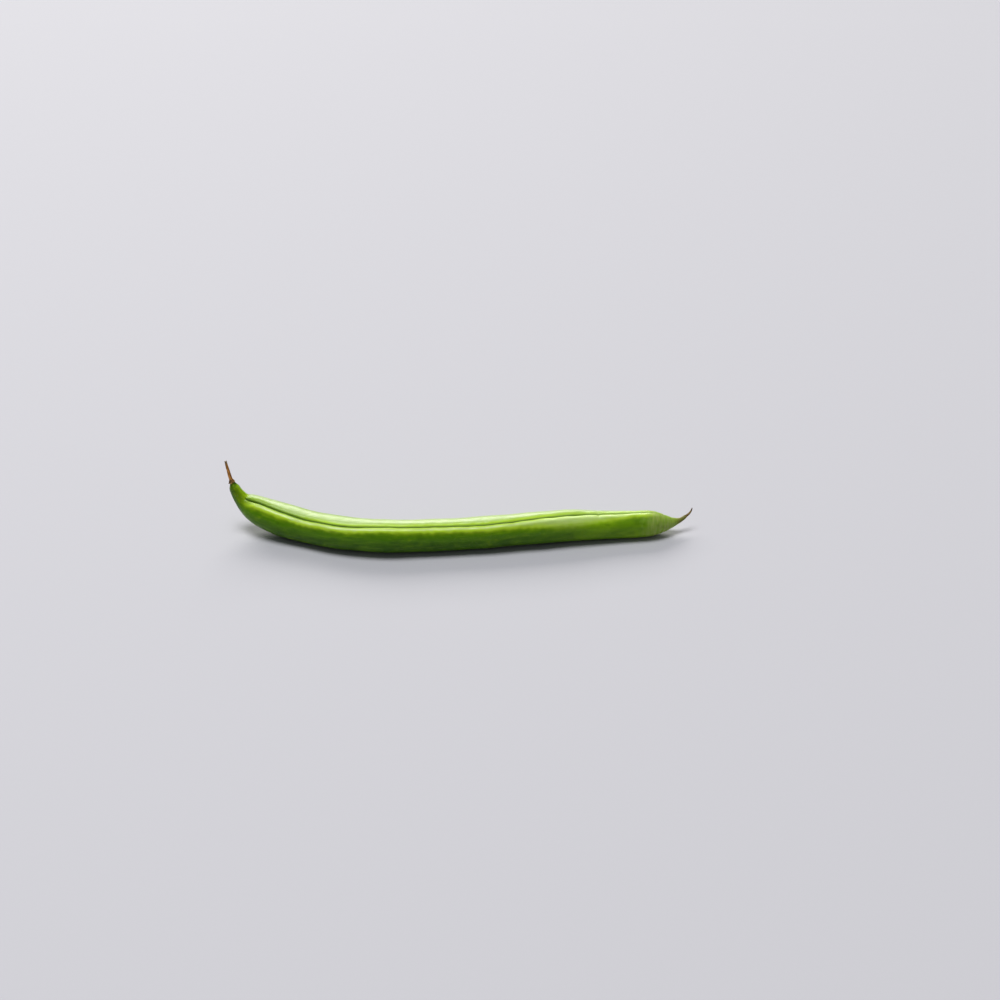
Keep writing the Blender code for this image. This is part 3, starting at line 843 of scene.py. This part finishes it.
def down_needles():
    """Points, shaped (hairs, 4, 3), and straight places. A hair's direction is the skin's own,
    the cross product of the grid's two tangents, leant down the line and scattered. Its tip lies
    one length along that, and its three feet stand round the root at one radius."""
    draw = np.random.default_rng(61)
    ring = np.searchsorted(pod_straight[:, 0, 0], draw.uniform(HAIR_FROM, HAIR_TO, HAIR_COUNT))
    place = np.searchsorted(pod_angles, draw.uniform(-np.pi, np.pi, HAIR_COUNT)) % POD_AROUND
    kept = (pod_grid[ring, place, 2] > CLEAR_OF_TABLE) & (np.abs(pod_angles[place]) > CLEAR_OF_CREASE)
    ring, place = ring[kept], place[kept]
    root = pod_grid[ring, place]
    down_line = unit(pod_grid[ring + 1, place] - pod_grid[ring - 1, place])
    round_it = unit(pod_grid[ring, (place + 1) % POD_AROUND] - pod_grid[ring, place - 1])
    outwards = unit(np.cross(round_it, down_line))
    from_middle = root - pod_grid[ring].mean(axis=1)
    outwards = outwards * np.sign((outwards * from_middle).sum(axis=1))[:, None]
    scatter = draw.normal(scale=HAIR_SCATTER, size=root.shape)
    direction = unit(outwards + HAIR_LEAN * down_line + scatter)
    length = draw.uniform(*HAIR_LENGTHS, len(root))[:, None] + HAIR_SUNK
    foot = root - HAIR_SUNK * outwards
    turns = np.radians((0.0, 120.0, 240.0))
    feet = [foot + HAIR_RADIUS * (np.cos(turn) * round_it + np.sin(turn) * down_line) for turn in turns]
    return np.stack([*feet, foot + length * direction], axis=1), pod_straight[ring, place]


needles, needle_places = down_needles()
first_corner = 4 * np.arange(len(needles))[:, None, None]
needle_faces = (first_corner + NEEDLE_FACES).reshape(-1, 3).tolist()
needle_values = {"straight": np.repeat(needle_places, 4, axis=0)}
plant_hair = colourless_hair()
add_piece("pod_down", needles.reshape(-1, 3), needle_faces, needle_values, plant_hair)

# %% [markdown]
# ## Dry tissue
#
# The calyx, the stalk and the thread at the tip are dead, dried plant tissue. It has no wax, so
# it is matt, and shrinking has drawn it into wrinkles that run lengthwise. One function makes the
# three finishes, from a light, a dark and a tip colour each.

# %% Dry tissue material
# Noise waves in a mm: the strands of a dry stalk are about 0.15 mm wide, and its flecks finer.
STREAKS_PER_MM, FLECKS_PER_MM = 3.2, 5.5
STREAK_STRETCH = (0.22, 1.0, 1.0)  # long along the strand
STREAK_CONTRAST = {"From Min": 0.36, "From Max": 0.64}
FLECK_CONTRAST = {"From Min": 0.56, "From Max": 0.68, "To Max": 0.7}
DRY_WRINKLES = {"Strength": 0.5, "Distance": 0.10 * MM}
DRY_SHINE = 0.35  # no wax is left, so little light is thrown back
print("strands of the dry tissue are about mm wide:", round(NOISE_HILL / STREAKS_PER_MM, 2))


def dried_tissue(name, light, dark, tip, roughness):
    """Dried plant tissue: lengthwise streaks between two colours, small dark flecks, and a third
    colour that the mask `tip` lays over the end. The streaks are wrinkles too."""
    finish = {"Roughness": roughness, "Specular IOR Level": DRY_SHINE}
    tissue, tree, shader = new_material(name, finish)
    straight = add_node(tree, "ShaderNodeAttribute", attribute_name="straight").outputs["Vector"]
    tip_mask = add_node(tree, "ShaderNodeAttribute", attribute_name="tip").outputs["Fac"]
    stretched = add_node(tree, "ShaderNodeMapping", {"Vector": straight, "Scale": STREAK_STRETCH})
    sockets = {"Vector": stretched.outputs["Vector"], "Scale": STREAKS_PER_MM, "Detail": 4.0}
    streaks = add_node(tree, "ShaderNodeTexNoise", sockets).outputs["Fac"]
    sockets = {"Vector": straight, "Scale": FLECKS_PER_MM, "Detail": 3.0}
    flecks = add_node(tree, "ShaderNodeTexNoise", sockets).outputs["Fac"]
    sockets = {"Value": streaks, **STREAK_CONTRAST}
    contrast = add_node(tree, "ShaderNodeMapRange", sockets).outputs["Result"]
    sockets = {"Value": flecks, **FLECK_CONTRAST}
    spots = add_node(tree, "ShaderNodeMapRange", sockets).outputs["Result"]
    colour = linear(light)
    for shade, mask in ((dark, contrast), (dark, spots), (tip, tip_mask)):
        sockets = {MIX_FACTOR: mask, MIX_UNDER: colour, MIX_OVER: linear(shade)}
        colour = add_node(tree, "ShaderNodeMix", sockets, data_type="RGBA").outputs[MIX_RESULT]
    tree.links.new(colour, shader.inputs["Base Color"])
    wrinkles = add_node(tree, "ShaderNodeBump", {"Height": streaks, **DRY_WRINKLES})
    tree.links.new(wrinkles.outputs["Normal"], shader.inputs["Normal"])
    return tissue


# %% [markdown]
# ## A wrinkled strand
#
# The stalk and the thread are dry strands that wrinkled as they shrank. A curve with a bevel would
# give a smooth tube. A ring of points carried along a path, its radius changed by a formula, gives
# the wrinkles too, and one function serves both.

# %% Strand function
RIDGE_STRAY, RIDGE_TWIST = 1.1, 0.25  # in radians: by noise, and for each mm along
RIDGE_STRAY_SIZE, RIDGE_STRAY_STRETCH = 1.2, [0.25, 1.0, 1.0]
KNOBBLE_SIZE, KNOBBLE_STRETCH = 0.55, [0.6, 1.6, 1.6]


def strand_rings(path, radii, ring_count, around, ridges, ridge_height, knobble, seed):
    """Rings carried along a smooth path in mm. The radius is read from a smooth curve and
    multiplied by 1 plus a cosine round the strand, for its ridges, and by soft noise."""
    path, radii = np.array(path), np.array(radii)
    steps = np.linalg.norm(np.diff(path, axis=0), axis=1)
    at = np.concatenate([[0.0], np.cumsum(steps)])
    along_line = np.linspace(0.0, at[-1], ring_count)
    read = smooth_through(at, np.column_stack([path, radii]), along_line)
    line = unit(np.gradient(read[:, :3], axis=0))
    aside = unit(np.cross(line, np.array([0.0, 1.0, 0.0])))
    other = np.cross(line, aside)
    turn = np.linspace(0.0, 2 * np.pi, around, endpoint=False)
    along, angle = np.meshgrid(along_line, turn, indexing="ij")
    radius = read[:, 3:4]
    straight = np.stack([along, radius * np.cos(angle), radius * np.sin(angle)], axis=-1)
    stray = soft_noise(straight * RIDGE_STRAY_STRETCH, RIDGE_STRAY_SIZE, seed)
    ridge_turn = ridges * angle + RIDGE_STRAY * stray + RIDGE_TWIST * along
    knobbles = soft_noise(straight * KNOBBLE_STRETCH, KNOBBLE_SIZE, seed + 1)
    wrinkled = radius * (1 + ridge_height * np.cos(ridge_turn)) * (1 + knobble * knobbles)
    rings = (
        read[:, None, :3]
        + (wrinkled * np.cos(angle))[..., None] * aside[:, None]
        + (wrinkled * np.sin(angle))[..., None] * other[:, None]
    )
    return rings, straight, along / at[-1], line


# %% [markdown]
# ## The stalk
#
# The stalk is the bit of pedicel that the bean hung from. It dried to a tan straw, thicker at its
# foot, with a few lengthwise ridges, and it ends in a ragged break. We could cut the break with
# another shape, but it is enough to move the last rings along the stalk by two waves.

# %% Stalk
neck_end, _, _, neck_line, _, _ = pod_line(np.array([0.0]))
neck_end, out_of_neck = neck_end[0], -neck_line[0]
STALK_OFFSETS = np.array([  # its path, in mm from its foot
    (0.0, 0.0, 0.0), (-0.30, 0.12, 1.35), (-0.60, 0.25, 2.7), (-0.87, 0.38, 4.0), (-1.1, 0.5, 5.2),
])
STALK_RADII = (0.62, 0.47, 0.42, 0.38, 0.34, 0.30)
STALK_AROUND = 56
STALK_SUNK = 0.35  # its foot reaches this far below the pod's end, inside the calyx
CALYX_REACH = 1.4  # from the pod's end to the stalk's foot, as packed
BREAK_FROM, GREY_FROM = 0.90, 0.72  # shares of the stalk's length
BREAK_WAVE, BREAK_NICK = 0.12, 0.09  # in mm: two wide waves round the break, and five nicks
GREYNESS = 0.8  # the broken end has weathered

stalk_foot = neck_end + out_of_neck * CALYX_REACH
stalk_path = np.concatenate([[neck_end + out_of_neck * STALK_SUNK], stalk_foot + STALK_OFFSETS])
stalk_grid, stalk_straight, stalk_share, stalk_line = strand_rings(
    stalk_path, STALK_RADII, ring_count=150, around=STALK_AROUND,
    ridges=6, ridge_height=0.10, knobble=0.06, seed=31,
)
break_turn = np.linspace(0.0, 2 * np.pi, STALK_AROUND, endpoint=False)
ragged = BREAK_WAVE * np.sin(2 * break_turn + 0.6) + BREAK_NICK * np.sin(5 * break_turn) - BREAK_WAVE
near_break = ease((stalk_share - BREAK_FROM) / (1 - BREAK_FROM))
stalk_grid = stalk_grid + (near_break * ragged)[..., None] * stalk_line[-1]
stalk_masks = {"tip": GREYNESS * ease((stalk_share - GREY_FROM) / (1 - GREY_FROM))}
# The pedicel dried like straw: tan with brown strands, weathered to grey at the break.
straw = dried_tissue("dried_pedicel_straw", "#E0A45A", "#8A520E", "#6E6A50", roughness=0.68)
stalk_piece = add_grid_piece("stalk_straw", stalk_grid, stalk_straight, stalk_masks, straw)
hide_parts("stalk")

# %% [markdown]
# ## The calyx
#
# The calyx held the flower. On the ripe pod it is a small brown collar at the end of the neck,
# with five withered teeth that stand out or cling to the pod. Each tooth could be a mesh of its
# own, but it grew as one piece with the collar. So the collar is one closed surface: a profile
# that goes up the outside, over the rim and down the inside, whose rim reaches out further where
# a tooth is.

# %% Calyx
CALYX_PROFILE = np.array([  # radius and height in mm over the pod's end, from the foot to the stalk
    (0.42, 0.40), (0.62, 0.30), (0.78, 0.38), (0.80, 0.52), (0.73, 0.70),
    (0.64, 0.88), (0.57, 1.04), (0.50, 1.20), (0.40, 1.34),
])
# Each tooth's place round the collar in degrees, and how far it sticks out.
CALYX_TEETH = ((20.0, 0.30), (95.0, 0.40), (165.0, 0.26), (238.0, 0.14), (305.0, 0.26))
TOOTH_HALF_ANGLE = np.radians(15.0)
TOOTH_BLUNTNESS = 1.4  # a power: 2 would give a round bell
TOOTH_RISE = 0.5  # how far a tooth curls up, as a share of how far it sticks out
TOOTH_PALENESS = 2.2  # the tips have dried pale
RIM_AT, RIM_WIDTH = 0.27, 0.15  # shares of the profile's length
SHRIVEL, SHRIVEL_SIZE, SHRIVEL_STRETCH = 0.07, 0.42, [0.5, 1.0, 1.0]
SHRIVEL_RISE = 0.15  # its foot keeps its size over this share of the profile
WARP, WARP_SIZE = 0.06, 0.8
CALYX_RINGS, CALYX_AROUND = 70, 110


def calyx_rings():
    """The collar's grid: a profile turned about the neck's end. Near the rim each tooth pushes the
    radius out by a bell round the collar times a bell along the profile, and the height by a
    share of that. Noise shrivels the radius and warps the height."""
    profile_at = np.linspace(0.0, 1.0, len(CALYX_PROFILE))
    wanted = np.linspace(0.0, 1.0, CALYX_RINGS)
    profile = smooth_through(profile_at, CALYX_PROFILE, wanted)
    turn = np.linspace(0.0, 2 * np.pi, CALYX_AROUND, endpoint=False)
    share, angle = np.meshgrid(wanted, turn, indexing="ij")
    teeth = np.zeros_like(angle)
    for degrees, reach in CALYX_TEETH:
        away = np.abs((angle - np.radians(degrees) + np.pi) % (2 * np.pi) - np.pi)
        teeth = teeth + reach * np.exp(-((away / TOOTH_HALF_ANGLE) ** TOOTH_BLUNTNESS))
    teeth = teeth * bell(share - RIM_AT, RIM_WIDTH)
    curl = TOOTH_RISE * np.cos(3 * angle + 0.8)  # some teeth stand up and others hang
    straight = np.stack([3 * share, np.cos(angle), np.sin(angle)], axis=-1)
    shrivel = SHRIVEL * soft_noise(straight * SHRIVEL_STRETCH, SHRIVEL_SIZE, seed=41)
    radius = profile[:, :1] * (1 + shrivel * ease(share / SHRIVEL_RISE)) + teeth
    height = profile[:, 1:] + curl * teeth + WARP * soft_noise(straight, WARP_SIZE, seed=42)
    collar_frame = np.array(Vector(out_of_neck).to_track_quat("Z", "Y").to_matrix())
    flat = np.stack([radius * np.cos(angle), radius * np.sin(angle), height], axis=-1)
    return neck_end + flat @ collar_frame.T, straight, {"tip": np.clip(TOOTH_PALENESS * teeth, 0.0, 1.0)}


calyx_grid, calyx_straight, calyx_masks = calyx_rings()
# Withered sepals go dark and papery, and only their thin tips stay pale.
husk = dried_tissue("withered_calyx_husk", "#94703A", "#4A3418", "#C8A468", roughness=0.80)
calyx_piece = add_grid_piece("calyx_husk", calyx_grid, calyx_straight, calyx_masks, husk)
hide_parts("calyx")

# %% [markdown]
# ## The dry thread
#
# The last of the flower's style stays on the tip of the beak as a dry, brown thread. It thins to
# a point and curls a little, and its foot sits on the end of the beak. A cone would be too
# straight, so the strand function makes it, with a curled path and radii that end near nothing.

# %% Thread
# Its path, in mm from its foot.
THREAD_OFFSETS = np.array([(0.0, 0.0, 0.0), (0.62, 0.36, 0.42), (1.12, 0.76, 0.98), (1.42, 1.14, 1.70)])
THREAD_RADII = (0.42, 0.30, 0.24, 0.17, 0.07)
THREAD_SUNK = 0.30
THREAD_GAP = 0.3  # from the beak's end to the thread's foot, as packed
THREAD_DARK_FROM, THREAD_DARKNESS = 0.6, 0.7  # a share of its length, and of the darker colour

beak_end, _, _, beak_line, _, _ = pod_line(np.array([pod_length]))
beak_end, out_of_beak = beak_end[0], beak_line[0]
thread_foot = beak_end + out_of_beak * THREAD_GAP
thread_path = np.concatenate([[beak_end - out_of_beak * THREAD_SUNK], thread_foot + THREAD_OFFSETS])
thread_grid, thread_straight, thread_share, _ = strand_rings(
    thread_path, THREAD_RADII, ring_count=90, around=36,
    ridges=4, ridge_height=0.12, knobble=0.08, seed=51,
)
into_end = (thread_share - THREAD_DARK_FROM) / (1 - THREAD_DARK_FROM)
thread_masks = {"tip": THREAD_DARKNESS * ease(into_end)}
# The style dried to a brown, wiry thread, darkest where it is thinnest.
dry_thread = dried_tissue("dried_style_thread", "#A08A58", "#5A4422", "#4A3820", roughness=0.78)
thread_piece = add_grid_piece(
    "style_thread_dry", thread_grid, thread_straight, thread_masks, dry_thread
)
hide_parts("style_thread")
